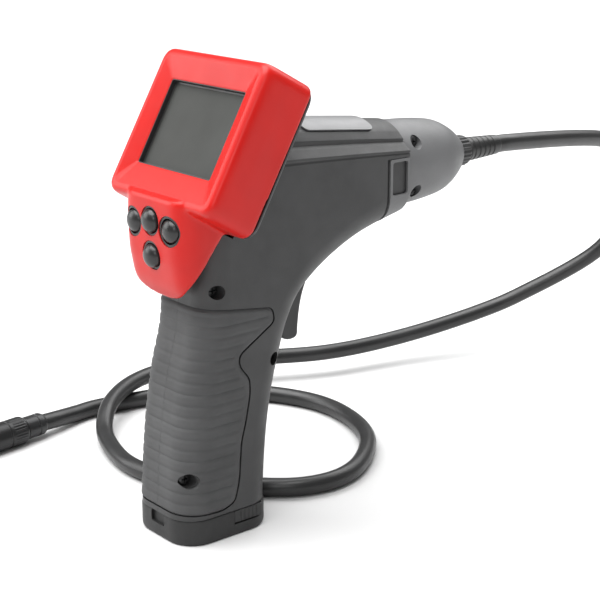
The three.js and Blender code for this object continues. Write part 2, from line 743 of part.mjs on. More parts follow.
add('display_bezel', displayBezel(), RED, 0.35);
add('display_rear_cover', rearCover(), DARK, 0.55, display);
add('display_window', pane(SCREEN_W + 8, SCREEN_H + 8, -1.2, 1.3), SCREEN_GREY, 0.1, display);
add('lcd_panel', pane(SCREEN_W + 6, SCREEN_H + 6, -2.8, 4), PANEL_GREY, 0.4, display);
add('display_board', pane(62, 54, -9, 1.6), BOARD, 0.5, display);
add('keypad_board', block(-15.7, -14.3, -17.4, 17.4, 122, 148), BOARD, 0.5);
for (const [name, y, z, x] of KEYS) add(name, key(y, z, x), BLACK, 0.4);

add('trigger', trigger(), BLACK, 0.5);
add('trigger_pin', barY(...TRIGGER_PIVOT, PIN_R, -PIN_HALF, PIN_HALF), STEEL, 0.3, root, 1);
add('trigger_spring', coilSpring(), STEEL, 0.3, root, 1);
add('trigger_switch', block(22, 26.6, -4, 4, 99, 111), BLACK, 0.6);
add('main_board', block(34, 102, -15, 15, 150, 151.6), BOARD, 0.5);

const batteryGroup = new THREE.Group();
batteryGroup.position.set(0.2, 0, CARRIER_Z);
batteryGroup.rotation.y = THREE.MathUtils.degToRad(HANDLE_LEAN);
root.add(batteryGroup);
add('battery_carrier', batteryCarrier(), BLACK, 0.6, batteryGroup);
[[1, 1], [1, -1], [-1, 1], [-1, -1]].forEach(([sx, sy], i) => {
  const mesh = add(`battery_${i + 1}`, cell(), CELL_GREY, 0.35, batteryGroup, 1);
  const flip = sx * sy < 0;
  mesh.position.set(sx * CELL_PITCH / 2, sy * CELL_PITCH / 2, flip ? 2 + CELL_LENGTH : 2);
  if (flip) mesh.rotation.x = Math.PI;
});
const contactPlate = plate(roundedRect(13.5, 14, 4), 1.6).translate(0.6, 0, CELL_LENGTH + 6);
add('battery_contact_board', toSolid(contactPlate), BOARD, 0.5, batteryGroup);
add('battery_cover', batteryCover(), DARK, 0.6);
add('right_latch', latch(-1), BLACK, 0.6);
add('left_latch', latch(1), BLACK, 0.6);

add('right_nose', nose(-1), GREY, 0.5);
add('left_nose', nose(1), GREY, 0.5);
for (const [name, x, z, depth] of NOSE_SCREWS) {
  add(name, screw(x, z, -HALF_WIDTH + depth), STEEL, 0.35, root, 1);
}
add('cable_socket', atNose(cableSocket()), BLACK, 0.5);
add('cable_plug', atNose(cablePlug()), BLACK, 0.4);
add('coupling_nut', atNose(couplingNut()), BLACK, 0.4);
add('strain_relief', atNose(strainRelief()), BLACK, 0.7);
add('camera_cable', cable(), BLACK, 0.5);

const head = new THREE.Group();
head.position.set(-2.9, 140.5, HEAD_R);
head.rotation.z = Math.PI + Math.atan2(3.5, 26.9);
root.add(head);
add('head_collar', headCollar(), HEAD_BLACK, 0.3, head, 1);
add('camera_head', headTube(), HEAD_BLACK, 0.3, head, 1);
add('head_board', headDisc(HEAD_BORE - GAP, HEAD_FRONT - 9, HEAD_FRONT - 7.4), BOARD, 0.5, head);
add('head_window', headDisc(HEAD_BORE - GAP, HEAD_FRONT - 2, HEAD_FRONT - 0.6), GLASS, 0.05, head);
add('head_lens', headDisc(2.2, HEAD_FRONT - 7, HEAD_FRONT - 2.6, 14), BLACK, 0.1, head);
for (let i = 0; i < 4; i += 1) {
  const chip = headDisc(0.9, HEAD_FRONT - 7, HEAD_FRONT - 4.8, 8);
  const led = add(`head_led_${i + 1}`, chip, LED_PALE, 0.2, head);
  const angle = (i + 0.5) * Math.PI / 2;
  led.position.set(0, 4 * Math.cos(angle), 4 * Math.sin(angle));
}

add('top_label', label(), LABEL_PALE, 0.3);

export default root;
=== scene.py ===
"""The looks of an inspection camera: a pistol-grip display unit, its cable and its camera head.

Lengths in the tables and helpers are millimetres in the CAD's frame. They become metres in one
place, where a mesh is made.
"""

import json
import math

import bmesh
import bpy
import numpy as np
from mathutils import Matrix, Vector

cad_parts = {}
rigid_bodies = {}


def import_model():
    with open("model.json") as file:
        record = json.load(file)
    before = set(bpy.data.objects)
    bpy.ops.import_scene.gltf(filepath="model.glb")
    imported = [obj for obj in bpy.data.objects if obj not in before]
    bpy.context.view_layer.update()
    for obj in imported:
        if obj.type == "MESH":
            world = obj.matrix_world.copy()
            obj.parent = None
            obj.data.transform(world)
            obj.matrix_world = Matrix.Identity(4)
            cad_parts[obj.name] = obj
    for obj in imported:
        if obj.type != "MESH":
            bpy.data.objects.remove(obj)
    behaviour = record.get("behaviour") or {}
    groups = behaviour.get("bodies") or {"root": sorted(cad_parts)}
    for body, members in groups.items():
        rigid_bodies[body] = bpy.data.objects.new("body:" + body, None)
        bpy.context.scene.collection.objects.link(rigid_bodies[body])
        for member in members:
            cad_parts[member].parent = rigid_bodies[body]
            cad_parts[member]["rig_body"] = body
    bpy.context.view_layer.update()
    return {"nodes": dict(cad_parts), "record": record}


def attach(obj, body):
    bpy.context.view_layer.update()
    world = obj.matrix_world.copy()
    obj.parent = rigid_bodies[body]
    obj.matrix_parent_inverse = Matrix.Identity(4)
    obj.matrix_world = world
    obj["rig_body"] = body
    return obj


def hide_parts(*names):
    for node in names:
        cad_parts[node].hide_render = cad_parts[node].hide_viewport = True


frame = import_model()
NODES = frame["nodes"]
MM = 0.001


# ---------- camera ----------
def make_camera():
    turn, tip = math.radians(39.82), math.radians(16.52)
    data = bpy.data.cameras.new("camera")
    data.sensor_width = 36
    data.lens = 89.46
    data.clip_start, data.clip_end = 0.01, 60
    camera = bpy.data.objects.new("camera", data)
    camera.location = (-0.3716, -0.5157, 0.295)
    camera.rotation_euler = (math.pi / 2 - tip, 0, -turn)
    bpy.context.scene.collection.objects.link(camera)
    bpy.context.scene.camera = camera


make_camera()


# ---------- materials ----------
class Nodes:
    """A short way to write a material's node tree."""

    def __init__(self, name, **sockets):
        self.material = bpy.data.materials.new(name)
        self.material.use_nodes = True
        self.tree = self.material.node_tree
        self.shader = self.tree.nodes["Principled BSDF"]
        self.position = self.tree.nodes.new("ShaderNodeTexCoord").outputs["Object"]
        for socket, value in sockets.items():
            self.shader.inputs[socket.replace("_", " ")].default_value = value

    def link(self, source, target):
        self.tree.links.new(source, target)

    def noise(self, size_mm, detail=2.0, roughness=0.5):
        """Noise with features of about that size."""
        node = self.tree.nodes.new("ShaderNodeTexNoise")
        node.inputs["Scale"].default_value = 1 / (size_mm * MM)
        node.inputs["Detail"].default_value = detail
        node.inputs["Roughness"].default_value = roughness
        self.link(self.position, node.inputs["Vector"])
        return node.outputs["Fac"]

    def ramp(self, factor, low, high, start=0.35, end=0.65):
        """A colour between low and high as the factor goes from start to end."""
        node = self.tree.nodes.new("ShaderNodeValToRGB")
        first, last = node.color_ramp.elements
        first.position, last.position = start, end
        first.color, last.color = (*low, 1), (*high, 1)
        self.link(factor, node.inputs["Fac"])
        return node.outputs["Color"]

    def grade(self, factor, low, high):
        """A number between low and high as the factor goes from 0.3 to 0.7."""
        node = self.tree.nodes.new("ShaderNodeMapRange")
        for socket, value in zip(("From Min", "From Max", "To Min", "To Max"), (0.3, 0.7, low, high)):
            node.inputs[socket].default_value = value
        self.link(factor, node.inputs["Value"])
        return node.outputs["Result"]

    def bump(self, height, depth_mm):
        node = self.tree.nodes.new("ShaderNodeBump")
        node.inputs["Distance"].default_value = depth_mm * MM
        self.link(height, node.inputs["Height"])
        return node.outputs["Normal"]


DRIFT_MM, SMEAR_MM = 28, 9


def moulded(name, low, high, roughness, grain_mm, grain_depth, **sockets):
    """Moulded plastic or rubber: slow colour drift, fine grain and an uneven sheen."""
    nodes = Nodes(name, **sockets)
    drift = nodes.noise(DRIFT_MM, detail=3)
    nodes.link(nodes.ramp(drift, low, high), nodes.shader.inputs["Base Color"])
    smear = nodes.noise(SMEAR_MM, detail=5, roughness=0.65)
    nodes.link(nodes.grade(smear, *roughness), nodes.shader.inputs["Roughness"])
    grain = nodes.noise(grain_mm)
    nodes.link(nodes.bump(grain, grain_depth), nodes.shader.inputs["Normal"])
    return nodes.material


def grey(value):
    return (value, value * 1.01, value * 1.03)


HOUSING = moulded("housing_plastic", grey(0.024), grey(0.032), (0.42, 0.55), 0.45, 0.05)
# Painted shade: a darker copy of the housing plastic for the battery cover, standing in for the shade on
# the foot near the floor.
SHADED_FOOT_PLASTIC = moulded("foot_plastic_painted_shade", grey(0.009), grey(0.013), (0.45, 0.6), 0.45, 0.05)
NOSE = moulded("nose_plastic", grey(0.1), grey(0.125), (0.42, 0.55), 0.5, 0.06)
RUBBER = moulded("grip_rubber", grey(0.045), grey(0.059), (0.6, 0.75), 0.35, 0.05)
RED = moulded("red_plastic", (0.46, 0.005, 0.003), (0.52, 0.007, 0.004), (0.3, 0.4), 1.2, 0.006,
              Specular_IOR_Level=0.32)
KEY = moulded("key_rubber", grey(0.010), grey(0.016), (0.25, 0.35), 0.4, 0.01)
BLACK = moulded("black_plastic", grey(0.012), grey(0.018), (0.38, 0.5), 0.4, 0.03)
SHEATH = moulded("cable_sheath", grey(0.010), grey(0.016), (0.3, 0.42), 0.5, 0.03)
STEEL = moulded("screw_steel", grey(0.04), grey(0.06), (0.35, 0.5), 0.2, 0.01, Metallic=0.8)
HEAD = moulded("head_metal", grey(0.028), grey(0.04), (0.28, 0.38), 0.3, 0.01, Metallic=0.6)
BOARD = moulded("circuit_board", (0.01, 0.09, 0.03), (0.015, 0.12, 0.04), (0.35, 0.45), 0.8, 0.02)
CELL = moulded("battery_cell", (0.05, 0.055, 0.065), (0.06, 0.066, 0.08), (0.28, 0.36), 0.6, 0.01)
LABEL = moulded("blank_label", grey(0.14), grey(0.17), (0.35, 0.45), 0.6, 0.01)
SCREEN = moulded("screen_panel", (0.046, 0.048, 0.045), (0.053, 0.055, 0.052), (0.45, 0.55), 1.0, 0.002,
                 Specular_IOR_Level=0.1)
GLASS = moulded("head_glass", grey(0.3), grey(0.33), (0.05, 0.08), 1.0, 0.0)
LED = moulded("led", (0.8, 0.76, 0.45), (0.85, 0.8, 0.5), (0.2, 0.25), 1.0, 0.0)

SLOT_MATERIALS = {
    "housing": HOUSING, "grip_rubber": RUBBER, "screw_steel": STEEL, "red_frame": RED,
    "window": SCREEN, "lcd": SCREEN, "circuit_board": BOARD, "key_rubber": KEY,
    "black_plastic": BLACK, "battery_cell": CELL, "nose_grey": NOSE, "cable_sheath": SHEATH,
    "head_metal": HEAD, "head_glass": GLASS, "lens_glass": BLACK, "led": LED, "blank_label": LABEL,
}


def dress_cad_nodes():
    for entry in frame["record"]["subparts"]:
        node = NODES[entry["node"]]
        node.data.materials.clear()
        node.data.materials.append(SLOT_MATERIALS[entry["material_slot"]])


dress_cad_nodes()


# ---------- meshes, in millimetres ----------
def mesh_from(vertices, faces):
    data = bpy.data.meshes.new("part")
    data.from_pydata([tuple(v) for v in vertices], [], faces)
    shape = bmesh.new()
    shape.from_mesh(data)
    bmesh.ops.remove_doubles(shape, verts=shape.verts, dist=1e-4)
    bmesh.ops.recalc_face_normals(shape, faces=shape.faces)
    shape.to_mesh(data)
    shape.free()
    return data


def loft(rings, loop=False):
    """A skin through rings of equal point count, closed by flat caps or, as a loop, on itself."""
    count = len(rings[0])
    total = len(rings) * count
    faces = []
    for r in range(len(rings) if loop else len(rings) - 1):
        for i in range(count):
            a, b = r * count + i, r * count + (i + 1) % count
            faces.append((a, b, (b + count) % total, (a + count) % total))
    if not loop:
        faces.append(tuple(range(count)))
        faces.append(tuple(range(total - count, total)))
    return mesh_from([point for row in rings for point in row], faces)


def moved(mesh, matrix):
    """The same mesh after the transform."""
    mesh.transform(matrix)
    return mesh


def place(x, y, z):
    """The transform that carries the origin to the point."""
    return Matrix.Translation((x, y, z))


def lathe(profile, sides=48, loop=False):
    """A turned solid along X from a profile of (radius, x)."""
    turns = [2 * math.pi * i / sides for i in range(sides)]
    rings = [[(x, r * math.cos(a), r * math.sin(a)) for a in turns] for r, x in profile]
    return loft(rings, loop)


def curve_through(points, per_span=5):
    """Points on a smooth plane curve through the given ones, its ends included."""
    padded = [points[0], *points, points[-1]]
    line = []
    for p0, p1, p2, p3 in zip(padded, padded[1:], padded[2:], padded[3:]):
        for i in range(per_span):
            t = i / per_span
            line.append(tuple(
                0.5 * (2 * b + (c - a) * t + (2 * a - 5 * b + 4 * c - d) * t * t
                       + (3 * b - a - 3 * c + d) * t ** 3)
                for a, b, c, d in zip(p0, p1, p2, p3)
            ))
    return [*line, tuple(points[-1])]


def rounded(points, radius, steps=5, closed=True):
    """The polyline with its corners rounded off."""
    line = [] if closed else [points[0]]
    count = len(points)
    for i in range(count) if closed else range(1, count - 1):
        corner = Vector(points[i])
        ends = []
        for other in (points[i - 1], points[(i + 1) % count]):
            edge = Vector(other) - corner
            ends.append(corner + edge * min(0.49, radius / edge.length))
        for k in range(steps + 1):
            t = k / steps
            line.append(tuple(ends[0] * (1 - t) ** 2 + corner * 2 * t * (1 - t) + ends[1] * t * t))
    return line if closed else [*line, points[-1]]


def offset(points, distance):
    """A closed outline moved inwards by the distance, corner by corner."""
    area = sum(a[0] * b[1] - b[0] * a[1] for a, b in zip(points, [*points[1:], points[0]]))
    side = 1 if area > 0 else -1
    moved_points = []
    for i, point in enumerate(points):
        before = (Vector(point) - Vector(points[i - 1])).normalized()
        after = (Vector(points[(i + 1) % len(points)]) - Vector(point)).normalized()
        normals = Vector((-before.y, before.x)), Vector((-after.y, after.x))
        mitre = (normals[0] + normals[1]) / (1 + normals[0].dot(normals[1]))
        moved_points.append(tuple(Vector(point) + mitre * side * distance))
    return moved_points


def edge_steps(radius, steps=3):
    """(inset, depth) pairs that round an edge, from the face to the side."""
    turns = [math.pi / 2 * i / steps for i in range(steps + 1)]
    return [(radius * (1 - math.sin(a)), radius * (1 - math.cos(a))) for a in turns]


def prism(outline, y0, y1, edge=0.0, steps=3):
    """A side view outline (x, z) given thickness from y0 to y1, with rounded rims."""
    levels = [(0, y0), (0, y1)]
    if edge:
        rims = edge_steps(edge, steps)
        levels = [(inset, y0 + depth) for inset, depth in rims]
        levels += [(inset, y1 - depth) for inset, depth in reversed(rims)]
    return loft([[(x, y, z) for x, z in offset(outline, inset)] for inset, y in levels])


def block(x, y, z):
    """A box from its limits on each axis."""
    corners = [(x[0], z[0]), (x[1], z[0]), (x[1], z[1]), (x[0], z[1])]
    return prism(corners, *y)


def bar(x, z, radius, y0, y1, sides=32):
    """A round bar along Y."""
    turns = [2 * math.pi * i / sides for i in range(sides)]
    outline = [(x + radius * math.cos(a), z + radius * math.sin(a)) for a in turns]
    return prism(outline, y0, y1)


def temporary(mesh):
    thing = bpy.data.objects.new("temporary", mesh)
    bpy.context.scene.collection.objects.link(thing)
    return thing


def evaluated(thing):
    """The mesh that an object's modifiers make of it. The object and its mesh are removed."""
    graph = bpy.context.evaluated_depsgraph_get()
    result = bpy.data.meshes.new_from_object(thing.evaluated_get(graph))
    source = thing.data
    bpy.data.objects.remove(thing)
    bpy.data.meshes.remove(source)
    return result


def boolean(operation, first, second):
    base, tool = temporary(first), temporary(second)
    modifier = base.modifiers.new("boolean", "BOOLEAN")
    modifier.operation = operation
    modifier.solver = "MANIFOLD"
    modifier.object = tool
    result = evaluated(base)
    bpy.data.objects.remove(tool)
    bpy.data.meshes.remove(second)
    return result


def join(first, *others):
    for other in others:
        first = boolean("UNION", first, other)
    return first


def cut(first, *others):
    for other in others:
        first = boolean("DIFFERENCE", first, other)
    return first


def common(first, *others):
    for other in others:
        first = boolean("INTERSECT", first, other)
    return first


def melted(mesh, voxel, rounds):
    """The solid remade in small voxels and smoothed, so that its edges are soft."""
    thing = temporary(mesh)
    remesh = thing.modifiers.new("remesh", "REMESH")
    remesh.mode = "VOXEL"
    remesh.voxel_size = voxel
    smooth = thing.modifiers.new("smooth", "SMOOTH")
    smooth.factor = 0.5
    smooth.iterations = rounds
    return evaluated(thing)


SHARP_ANGLE = math.radians(35)


def piece(name, mesh, material, replaces, body):
    """Puts a mesh in millimetres into the scene as a piece that stands for CAD nodes."""
    mesh.transform(Matrix.Scale(MM, 4))
    mesh.shade_smooth()
    mesh.set_sharp_from_angle(angle=SHARP_ANGLE)
    mesh.name = name
    mesh.materials.clear()
    mesh.materials.append(material)
    thing = bpy.data.objects.new(name, mesh)
    bpy.context.scene.collection.objects.link(thing)
    weights = thing.modifiers.new("normals", "WEIGHTED_NORMAL")
    weights.keep_sharp = True
    weights.mode = "FACE_AREA"
    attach(thing, body)
    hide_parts(*replaces)
    return thing


NODE_SLOTS = {entry["node"]: entry["material_slot"] for entry in frame["record"]["subparts"]}


def stand_in(node, mesh, material=None):
    """A finer piece in place of one CAD node, on its body and with its material."""
    slot = NODE_SLOTS[node]
    material = material or SLOT_MATERIALS[slot]
    return piece(f"{node}_detail", mesh, material, (node,), NODES[node]["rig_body"])


# ---------- driving dimensions, as the CAD has them ----------
GAP = 0.3
HALF_WIDTH = 21.4
EDGE_ROUND = 13
WALL = 3.4
RUBBER_DEPTH = 1.5
RUBBER_PROUD = 0.4
FOOT_TOP = 12.2
NOSE_X, NOSE_Z, NOSE_TIP_X = 107.5, 154.4, 156.5
SLEEVE_X, SLEEVE_TOP = (95.2, NOSE_X), 161
SCREEN_X, SCREEN_Z = -1.5, 183.5
SCREEN_TILT = math.radians(29.6)
# Heights and depths in the display's own frame, from its datum plane.
FRAME_RIM = 4.2
FRAME_BACK = 22
COVER_BACK = 26
WINDOW_HALF_W, WINDOW_HALF_H = 26.4, 20.05
SLOPE_FOOT = 1.6
WINDOW_TOP = -1.2
MELT_VOXEL = 0.8

# Each key's Y and Z, and the X of its rim.
KEYS = {"key_left": (13.2, 144.4, -23.6), "key_middle": (0, 146.8, -25),
        "key_right": (-13.2, 144.4, -23.6), "key_lower": (0, 131.4, -24.6)}
KEY_R = 5.3
KEY_HOLE_R = 6.4
KEY_STEM_X = -17.2
TRIGGER_HALF = 6.5
TRIGGER_PIVOT = (41, 121)
PIN_R, PIN_HALF = 1.45, 11

# The screws enter from the right side: X, Z and the depth of the head below the housing's side.
HOUSING_SCREWS = {"screw_neck": (-4.2, 115.4, 5.5), "screw_strap": (26.6, 79, 5.5),
                  "screw_grip": (-19.6, 31, 7.5)}
NOSE_SCREWS = {"screw_nose_upper": (115.6, NOSE_Z + 12, 6.5),
               "screw_nose_lower": (115.6, NOSE_Z - 11.4, 6.5)}
SCREW_R, SCREW_HEAD_R, WELL_R, BOSS_R = 1.4, 2.7, 3.2, 4
BOOT_END_X = 188
HEAD_R, HEAD_BORE, HEAD_LENGTH, COLLAR_LENGTH = 7.4, 6.2, 36, 12
LABEL_X, LABEL_REACH, LABEL_THICKNESS = (50, 92), 37, 0.6

# The display's own frame: across, up the screen and out of it.
DISPLAY = Matrix((
    (0, math.sin(SCREEN_TILT), -math.cos(SCREEN_TILT), SCREEN_X),
    (-1, 0, 0, 0),
    (0, math.cos(SCREEN_TILT), math.sin(SCREEN_TILT), SCREEN_Z),
    (0, 0, 0, 1),
))
AT_NOSE = place(0, 0, NOSE_Z)
HEAD_TURN = math.pi + math.atan2(3.5, 26.9)
AT_HEAD = place(-2.9, 140.5, HEAD_R) @ Matrix.Rotation(HEAD_TURN, 4, "Z")


# ---------- housing ----------
REAR_LINE = [(-25.2, 12), (-23.6, 36), (-21.2, 57), (-17.4, 78), (-12.8, 95), (-10.8, 112)]
FRONT_LINE = [(110, 133.4), (94, 129.6), (80, 125.4), (66, 119), (54, 111.6), (45, 103.5),
              (38.6, 92), (34.2, 78), (30.4, 64), (27.6, 48), (25.8, 30), (24.7, 12)]
BODY_OUTLINE = [
    (-26, -24), *curve_through(REAR_LINE, 4), (-11, 200), (150, 184),
    (150, 134.6), *curve_through(FRONT_LINE, 4), (24, -24),
]
GRIP_OUTLINE = [(-40, 15.6), (-4, 14), (2.6, 16.4), (5.2, 26), (6.6, 44), (9.4, 54), (11.8, 66),
                (11.6, 73), (6, 80), (6, 85), (16, 91), (26, 97), (24.6, 103.6), (0, 107), (-40, 110)]
GRIP_EDGE = rounded(GRIP_OUTLINE, 2.6)


def body_layer(inset, steps=9):
    """The housing's outer form, moved in by inset all over."""
    bevel = EDGE_ROUND - inset
    flat = HALF_WIDTH - EDGE_ROUND
    turns = [math.pi / 2 * i / steps for i in range(steps + 1)]
    levels = [(EDGE_ROUND - bevel * math.cos(a), flat + bevel * math.sin(a)) for a in turns]
    levels = [(d, -y) for d, y in reversed(levels)] + levels
    return loft([[(x, y, z) for x, z in offset(BODY_OUTLINE, d)] for d, y in levels])


BARREL_R = 21.4
ARC_REACH = 39
# Corners of the ridges and the groove: distance from the mid plane and depth below the top.
RIDGES = [(16.6, -7.9), (16.2, -9.3), (18, -10.4), (21.8, -13.4), (20.9, -14.2), (21.4, -15.4)]
INNER_FLANK = [(14.4, -10.8), (17.9, -15.6)]
# X along the barrel and the height of its top there. The ridges are deeper towards the rear.
BARREL_TOPS = [(8, 187), (45, 183.4), (80, 179.7), (107.5, 176.5), (130, 174.2)]
RIDGE_SPREAD, RIDGES_FROM_X = 0.0056, 90


def arc_points(out, reach, steps=14):
    """Half of the arc over the barrel, as distances from the mid plane and depths below the top."""
    turns = [math.radians(reach) * i / steps for i in range(steps + 1)]
    return [((BARREL_R + out) * math.sin(a), (BARREL_R + out) * math.cos(a) - BARREL_R) for a in turns]


def under_barrel_top(inset):
    """Everything below the barrel's top: an arc with two ridges and a groove on each side."""
    flank = INNER_FLANK if inset else RIDGES
    side = flank[-1][1] - 0.1
    corners = [arc_points(-inset, ARC_REACH)[-1], *flank, (40, side)]
    half = arc_points(-inset, ARC_REACH)[:-1] + rounded(corners, 0.5, 4, closed=False) + [(40, -150)]
    arc_depth = BARREL_R * (math.cos(math.radians(ARC_REACH)) - 1)
    rings = []
    for x, top in BARREL_TOPS:
        spread = 1 + RIDGE_SPREAD * (RIDGES_FROM_X - x)
        line = [(y, z if z >= arc_depth else arc_depth + (z - arc_depth) * spread) for y, z in half]
        rings.append([(x, y, top + z) for y, z in reversed(line)] + [(x, -y, top + z) for y, z in line[1:]])
    return join(loft(rings), block((-60, BARREL_TOPS[0][0] + 0.01), (-40, 40), (-30, 220)))


def half_space(side):
    """Room for one half of a split shell, a hair away from the mid plane."""
    return block((-60, 200), sorted((side * 0.06, side * 60)), (0, 220))


def skin(outside, inside):
    """The layer of the housing's form between two insets."""
    return cut(body_layer(outside), body_layer(inside))


def screw_hole(x, z, depth):
    """A well for the screw's head and a bore for its shank."""
    bore = bar(x, z, SCREW_R + 0.25, -30, 9)
    return join(bore, bar(x, z, WELL_R, -30, -HALF_WIDTH + depth + 2.2, 40))


def housing():
    """The whole shell: hollow, with a pocket for the rubber, screw posts and the trigger's slot."""
    shape = common(body_layer(0), under_barrel_top(0))
    pocket = common(skin(-1, RUBBER_DEPTH), prism(offset(GRIP_EDGE, -GAP), -60, 60))
    rebate = common(skin(-1, 1.3), block((93.4, NOSE_X + 5), (-60, 60), (100, SLEEVE_TOP + GAP)))
    shape = cut(shape, pocket, rebate, common(body_layer(WALL), under_barrel_top(WALL)))
    inside = TRIGGER_HALF + 0.7
    spans = ((-HALF_WIDTH, -inside), (inside, HALF_WIDTH))
    bosses = join(*[bar(*TRIGGER_PIVOT, 3.6, *span) for span in spans])
    shape = join(shape, common(bosses, body_layer(RUBBER_DEPTH)))
    for x, z, depth in HOUSING_SCREWS.values():
        boss = bar(x, z, BOSS_R, -HALF_WIDTH, HALF_WIDTH)
        shape = join(shape, common(boss, body_layer(RUBBER_DEPTH + GAP)))
        shape = cut(shape, screw_hole(x, z, depth))
    slot = rounded([(30, 77), (66, 77), (66, 118), (58, 124), (34, 124), (31, 108)], 1.5)
    shape = cut(shape, prism(slot, -TRIGGER_HALF - 0.5, TRIGGER_HALF + 0.5))
    shape = cut(shape, bar(*TRIGGER_PIVOT, PIN_R + GAP, -PIN_HALF - GAP, PIN_HALF + GAP))
    behind = moved(block((-60, 60), (-36.9, 80), (-COVER_BACK - GAP, 60)), DISPLAY)
    return cut(common(shape, block((-60, NOSE_X), (-60, 60), (FOOT_TOP, 220))), behind)


def make_housing():
    whole = housing()
    for node, side in (("right_housing", -1), ("left_housing", 1)):
        stand_in(node, common(whole.copy(), half_space(side)))


# ---------- grip rubber ----------
def smooth_step(value):
    t = np.clip(value, 0, 1)
    return t * t * (3 - 2 * t)


def depth_inside(outline, x, z):
    """How far points of the side view lie inside a closed outline. Outside it is negative."""
    nearest = np.full(x.shape, 1e9)
    inside = np.zeros(x.shape, bool)
    for (x0, z0), (x1, z1) in zip(outline, [*outline[1:], outline[0]]):
        dx, dz = x1 - x0, z1 - z0
        t = np.clip(((x - x0) * dx + (z - z0) * dz) / (dx * dx + dz * dz), 0, 1)
        nearest = np.minimum(nearest, np.hypot(x - x0 - t * dx, z - z0 - t * dz))
        if dz:
            crosses = ((z0 > z) != (z1 > z)) & (x < x0 + (z - z0) / dz * dx)
            inside ^= crosses
    return np.where(inside, nearest, -nearest)


RIB_PITCH = 5.0
RIB_DEPTH = 0.42
RUBBER_STEP = 0.6


def rubber_height(x, z):
    """How far the rubber stands out of the housing: a rolled rim, then shallow grooves across."""
    depth = depth_inside(GRIP_EDGE, x, z)
    groove = np.clip(np.cos(2 * math.pi * z / RIB_PITCH), 0, 1) ** 2
    rim = smooth_step((depth - 0.6) / 0.8) * smooth_step((3.2 - depth) / 1.4)
    ribbed = smooth_step((depth - 2.4) / 1.6)
    edge = (RUBBER_PROUD + 0.5) * smooth_step(depth / 1.1) - 0.6
    return edge + 0.16 * rim - RIB_DEPTH * groove * ribbed


def rubber_ring(z, rear, front):
    """Surface points around the handle at one height, each with the way out of the surface."""
    (rear_x, rear_slope), (front_x, front_slope) = rear, front
    flat = HALF_WIDTH - EDGE_ROUND
    turns = [math.pi / 2 * i / 16 for i in range(17)]
    half = [((rear_x, -flat * i / 8), (-1, 0)) for i in range(8)]
    for a in turns:
        x = rear_x + EDGE_ROUND * (1 - math.cos(a)) * rear_slope
        half.append(((x, -flat - EDGE_ROUND * math.sin(a)), (-math.cos(a), -math.sin(a))))
    end = front_x - EDGE_ROUND * front_slope
    start = rear_x + EDGE_ROUND * rear_slope
    half += [((start + (end - start) * i / 44, -HALF_WIDTH), (0, -1)) for i in range(1, 44)]
    for a in reversed(turns):
        x = front_x - EDGE_ROUND * (1 - math.cos(a)) * front_slope
        half.append(((x, -flat - EDGE_ROUND * math.sin(a)), (math.cos(a), -math.sin(a))))
    other = [((x, -y), (nx, -ny)) for (x, y), (nx, ny) in reversed(half[1:])]
    points, ways = zip(*(half + other))
    points, ways = np.array(points), np.array(ways)
    out = rubber_height(points[:, 0], np.full(len(points), z))
    return [(x, y, z) for x, y in points + ways * out[:, None]]


def rubber_form():
    """The grip's whole outer form, with the grooves of the rubber."""
    def at(line, z):
        """The line's X at one height and the slant of the surface there."""
        line = sorted(curve_through(line, 8), key=lambda point: point[1])
        xs, zs = np.array(line).T
        slope = (np.interp(z + 1, zs, xs) - np.interp(z - 1, zs, xs)) / 2
        return float(np.interp(z, zs, xs)), math.hypot(1, slope)

    bottom, top = 13, 111
    count = int((top - bottom) / RUBBER_STEP)
    heights = [bottom + RUBBER_STEP * i for i in range(count + 1)]
    return loft([rubber_ring(z, at(REAR_LINE, z), at(FRONT_LINE, z)) for z in heights])


def make_rubber():
    whole = cut(rubber_form(), body_layer(RUBBER_DEPTH - GAP))
    whole = common(whole, prism(GRIP_EDGE, -60, 60))
    for x, z, _ in HOUSING_SCREWS.values():
        whole = cut(whole, bar(x, z, WELL_R + 0.4, -30, 0, 40))
    for node, side in (("right_grip_rubber", -1), ("left_grip_rubber", 1)):
        stand_in(node, common(whole.copy(), half_space(side)))


# ---------- display frame and keypad tongue ----------
def ring(half_x, low, high, radius, z, per_corner=8):
    """The points of a rounded rectangle at one height."""
    centres = [(half_x - radius, high - radius), (radius - half_x, high - radius),
               (radius - half_x, low + radius), (half_x - radius, low + radius)]
    points = []
    for corner, (cx, cy) in enumerate(centres):
        for i in range(per_corner + 1):
            a = (corner + i / per_corner) * math.pi / 2
            points.append((cx + radius * math.cos(a), cy + radius * math.sin(a), z))
    return points


def frame_ring(head_half, foot_half, low, high, radius, z):
    """A ring of the display frame, which is wider at its foot than at its head."""
    mean = (head_half + foot_half) / 2
    points = []
    for x, y, level in ring(mean, low, high, radius, z):
        half = foot_half + (head_half - foot_half) * (y - low) / (high - low)
        points.append((x * half / mean, y, level))
    return points


RIM_INNER = (33.2, 34.2, -31.6, 29.8, 3.4, FRAME_RIM)


def frame_outside():
    """The display frame's outer form, filled, in the display's own frame."""
    side = [(39, 38.2, -36.4, 34.4, 6, -FRAME_BACK), (38.5, 38.4, -36, 34.2, 6, -8)]
    front = [(38.2, 38.3, -35.9, 34.1, 6, -1.2), (37.7, 38.1, -35.6, 33.8, 5.8, 1.4),
             (36.5, 37.3, -34.8, 33, 5, 3.3), (34.9, 35.8, -33.4, 31.4, 4.2, 4.1), RIM_INNER]
    rings = side + curve_through(front, 4)
    return loft([frame_ring(*values) for values in rings])


def frame_inside():
    return loft([ring(36, -33.4, 31.6, 5, -FRAME_BACK - 1), ring(35.4, -32.8, 31.2, 5, -0.9)])


